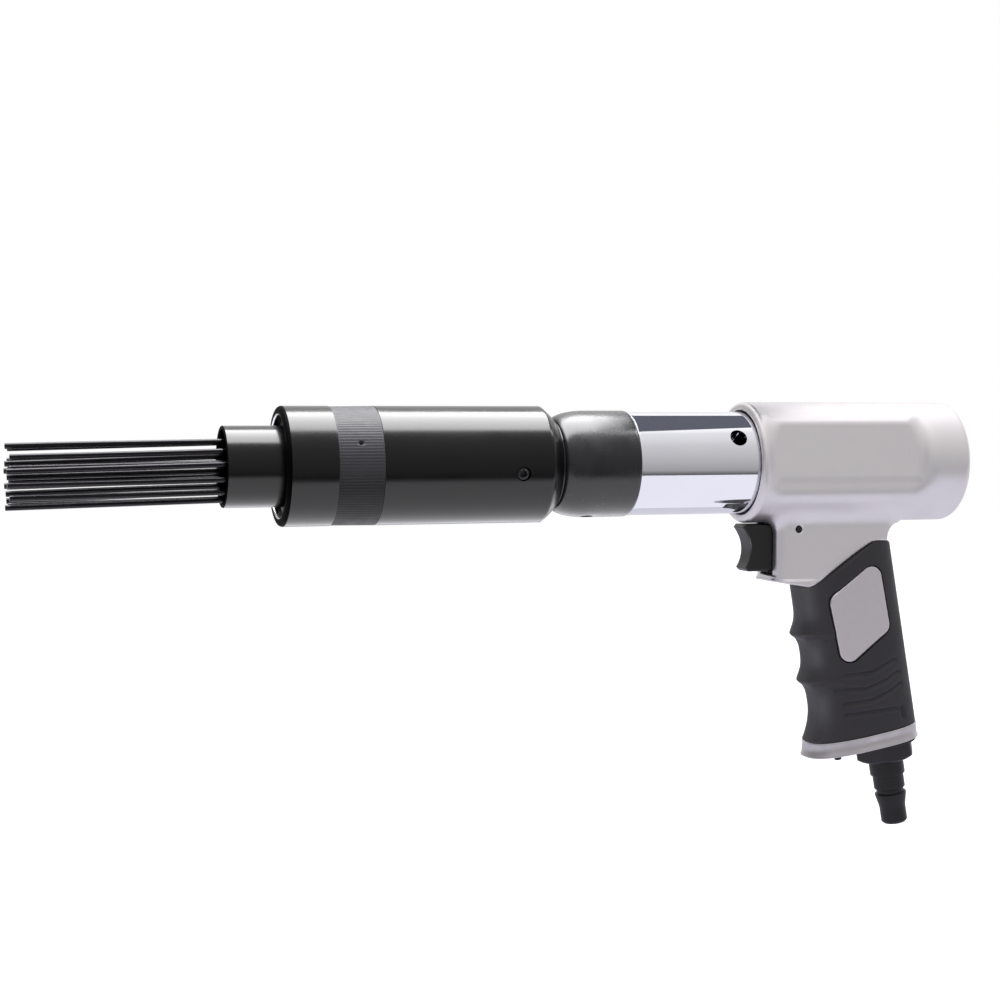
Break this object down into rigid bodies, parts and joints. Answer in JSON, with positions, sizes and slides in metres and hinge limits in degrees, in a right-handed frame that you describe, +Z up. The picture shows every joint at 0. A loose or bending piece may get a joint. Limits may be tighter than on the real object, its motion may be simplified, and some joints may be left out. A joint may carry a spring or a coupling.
{
  "type": "needle scaler",
  "caption": "Pneumatic needle scaler with a pistol grip: a piston drives an anvil that hammers a bundle of loose needles out of a spring-loaded nose.",
  "frame": {"origin": "centre of the hand grip, on the axis of the grip", "axes": "needles point along -X, +Z is up along the upright tool, +Y is to the left of someone looking along -X"},
  "size_m": [0.4346, 0.056, 0.2016],
  "materials": {
    "cast_aluminium": "satin sand-cast and bead-blasted aluminium",
    "base_casting": "bright die-cast aluminium",
    "grip_rubber": "matt charcoal moulded rubber",
    "black_housing": "gloss black oxide steel",
    "coupling_steel": "semi-gloss black phosphated steel",
    "barrel_chrome": "polished hard chrome",
    "needle_steel": "dark drawn spring steel",
    "inlet_black": "black zinc-plated steel",
    "trigger_plastic": "black moulded plastic",
    "bright_steel": "ground steel",
    "spring_steel": "oiled spring wire",
    "bronze": "turned bronze",
    "seal_rubber": "black nitrile rubber"
  },
  "bodies": {
    "tool_body": {"handle_casting": "cast_aluminium", "grip_sleeve": "grip_rubber", "base_plate": "base_casting", "base_pin": "inlet_black", "inlet_washer": "seal_rubber", "inlet_bushing": "inlet_black", "inlet_screen": "bronze", "hose_plug": "inlet_black", "throttle_bushing": "bronze", "throttle_spring": "spring_steel", "trigger_pin": "bright_steel", "barrel_washer": "bronze", "barrel": "barrel_chrome", "valve_block": "bright_steel", "valve_cap": "bright_steel", "valve_dowel": "bright_steel", "valve_gasket": "seal_rubber", "coupling": "coupling_steel", "anvil_bush": "bronze", "anvil_bumper": "seal_rubber", "rear_housing": "black_housing", "housing_screw": "inlet_black", "front_sleeve": "black_housing", "retaining_ring": "bright_steel", "return_spring": "spring_steel"},
    "trigger": {"trigger": "trigger_plastic", "trigger_rod": "bright_steel"},
    "throttle": {"throttle_valve": "bright_steel", "throttle_seal": "seal_rubber"},
    "air_valve": {"valve_disc": "bright_steel"},
    "piston": {"piston": "bright_steel"},
    "anvil": {"anvil": "bright_steel"},
    "needle_pack": {"needle_holder": "bright_steel"},
    "nose": {"nose_tube": "black_housing"},
    "needle_01": {"needle_01": "needle_steel"},
    "needle_02": {"needle_02": "needle_steel"},
    "needle_03": {"needle_03": "needle_steel"},
    "needle_04": {"needle_04": "needle_steel"},
    "needle_05": {"needle_05": "needle_steel"},
    "needle_06": {"needle_06": "needle_steel"},
    "needle_07": {"needle_07": "needle_steel"},
    "needle_08": {"needle_08": "needle_steel"},
    "needle_09": {"needle_09": "needle_steel"},
    "needle_10": {"needle_10": "needle_steel"},
    "needle_11": {"needle_11": "needle_steel"},
    "needle_12": {"needle_12": "needle_steel"},
    "needle_13": {"needle_13": "needle_steel"},
    "needle_14": {"needle_14": "needle_steel"},
    "needle_15": {"needle_15": "needle_steel"},
    "needle_16": {"needle_16": "needle_steel"},
    "needle_17": {"needle_17": "needle_steel"},
    "needle_18": {"needle_18": "needle_steel"},
    "needle_19": {"needle_19": "needle_steel"}
  },
  "joints": [
    {"name": "finger_trigger_slide", "type": "slide", "parent": "tool_body", "child": "trigger", "axis": [1, 0, 0], "range_m": [0, 0.006], "stiffness_N_per_m": 800, "springref_m": -0.004},
    {"name": "front_nose_slide", "type": "slide", "parent": "tool_body", "child": "nose", "axis": [1, 0, 0], "range_m": [0, 0.008], "stiffness_N_per_m": 1500, "springref_m": -0.005, "deforming": ["return_spring"]},
    {"name": "hammer_piston_slide", "type": "slide", "parent": "tool_body", "child": "piston", "axis": [-1, 0, 0], "range_m": [0, 0.0715]},
    {"name": "impact_pack_slide", "type": "slide", "parent": "tool_body", "child": "needle_pack", "axis": [-1, 0, 0], "range_m": [0, 0.008], "stiffness_N_per_m": 2000, "springref_m": -0.006, "deforming": ["return_spring"]},
    {"name": "impact_anvil_slide", "type": "slide", "parent": "tool_body", "child": "anvil", "axis": [-1, 0, 0], "range_m": [0, 0.008]},
    {"name": "throttle_valve_slide", "type": "slide", "parent": "tool_body", "child": "throttle", "axis": [1, 0, 0], "range_m": [0, 0.006], "deforming": ["throttle_spring"]},
    {"name": "valve_disc_slide", "type": "slide", "parent": "tool_body", "child": "air_valve", "axis": [1, 0, 0], "range_m": [0, 0.0016]},
    {"name": "needle_01_slide", "type": "slide", "parent": "needle_pack", "child": "needle_01", "axis": [-0.9998, 0.0035, -0.0209], "range_m": [-0.0023, 0.001]},
    {"name": "needle_02_slide", "type": "slide", "parent": "needle_pack", "child": "needle_02", "axis": [-0.9997, 0.0017, -0.0244], "range_m": [-0.00169, 0.00161]},
    {"name": "needle_03_slide", "type": "slide", "parent": "needle_pack", "child": "needle_03", "axis": [-0.9998, -0.0019, -0.0201], "range_m": [-0.0032, 0.0001]},
    {"name": "needle_04_slide", "type": "slide", "parent": "needle_pack", "child": "needle_04", "axis": [-0.9998, -0.0035, -0.0177], "range_m": [-0.00159, 0.00171]},
    {"name": "needle_05_slide", "type": "slide", "parent": "needle_pack", "child": "needle_05", "axis": [-0.9997, -0.0015, -0.0226], "range_m": [-0.00246, 0.00084]},
    {"name": "needle_06_slide", "type": "slide", "parent": "needle_pack", "child": "needle_06", "axis": [-0.9997, 0.002, -0.0238], "range_m": [-0.00278, 0.00052]},
    {"name": "needle_07_slide", "type": "slide", "parent": "needle_pack", "child": "needle_07", "axis": [-0.9998, 0.0035, -0.0186], "range_m": [-0.00143, 0.00187]},
    {"name": "needle_08_slide", "type": "slide", "parent": "needle_pack", "child": "needle_08", "axis": [-0.9998, 0.0014, -0.0187], "range_m": [-0.0031, 0.0002]},
    {"name": "needle_09_slide", "type": "slide", "parent": "needle_pack", "child": "needle_09", "axis": [-0.9997, -0.0021, -0.0238], "range_m": [-0.00199, 0.00131]},
    {"name": "needle_10_slide", "type": "slide", "parent": "needle_pack", "child": "needle_10", "axis": [-0.9997, -0.0034, -0.0225], "range_m": [-0.00196, 0.00134]},
    {"name": "needle_11_slide", "type": "slide", "parent": "needle_pack", "child": "needle_11", "axis": [-0.9998, -0.0012, -0.0177], "range_m": [-0.00312, 0.00018]},
    {"name": "needle_12_slide", "type": "slide", "parent": "needle_pack", "child": "needle_12", "axis": [-0.9998, 0.0023, -0.0202], "range_m": [-0.00144, 0.00186]},
    {"name": "needle_13_slide", "type": "slide", "parent": "needle_pack", "child": "needle_13", "axis": [-0.9997, 0.0034, -0.0244], "range_m": [-0.00275, 0.00055]},
    {"name": "needle_14_slide", "type": "slide", "parent": "needle_pack", "child": "needle_14", "axis": [-0.9998, 0.001, -0.0209], "range_m": [-0.00249, 0.00081]},
    {"name": "needle_15_slide", "type": "slide", "parent": "needle_pack", "child": "needle_15", "axis": [-0.9998, -0.0024, -0.0175], "range_m": [-0.00156, 0.00174]},
    {"name": "needle_16_slide", "type": "slide", "parent": "needle_pack", "child": "needle_16", "axis": [-0.9998, -0.0034, -0.0218], "range_m": [-0.00319, 0.00011]},
    {"name": "needle_17_slide", "type": "slide", "parent": "needle_pack", "child": "needle_17", "axis": [-0.9997, -0.0008, -0.0242], "range_m": [-0.00172, 0.00158]},
    {"name": "needle_18_slide", "type": "slide", "parent": "needle_pack", "child": "needle_18", "axis": [-0.9998, 0.0026, -0.0193], "range_m": [-0.00226, 0.00104]},
    {"name": "needle_19_slide", "type": "slide", "parent": "needle_pack", "child": "needle_19", "axis": [-0.9998, 0.0033, -0.0181], "range_m": [-0.00294, 0.00036]}
  ],
  "couplings": [
    {"joint": "throttle_valve_slide", "follows": "finger_trigger_slide", "ratio": 1},
    {"joint": "impact_anvil_slide", "follows": "impact_pack_slide", "ratio": 1}
  ]
}
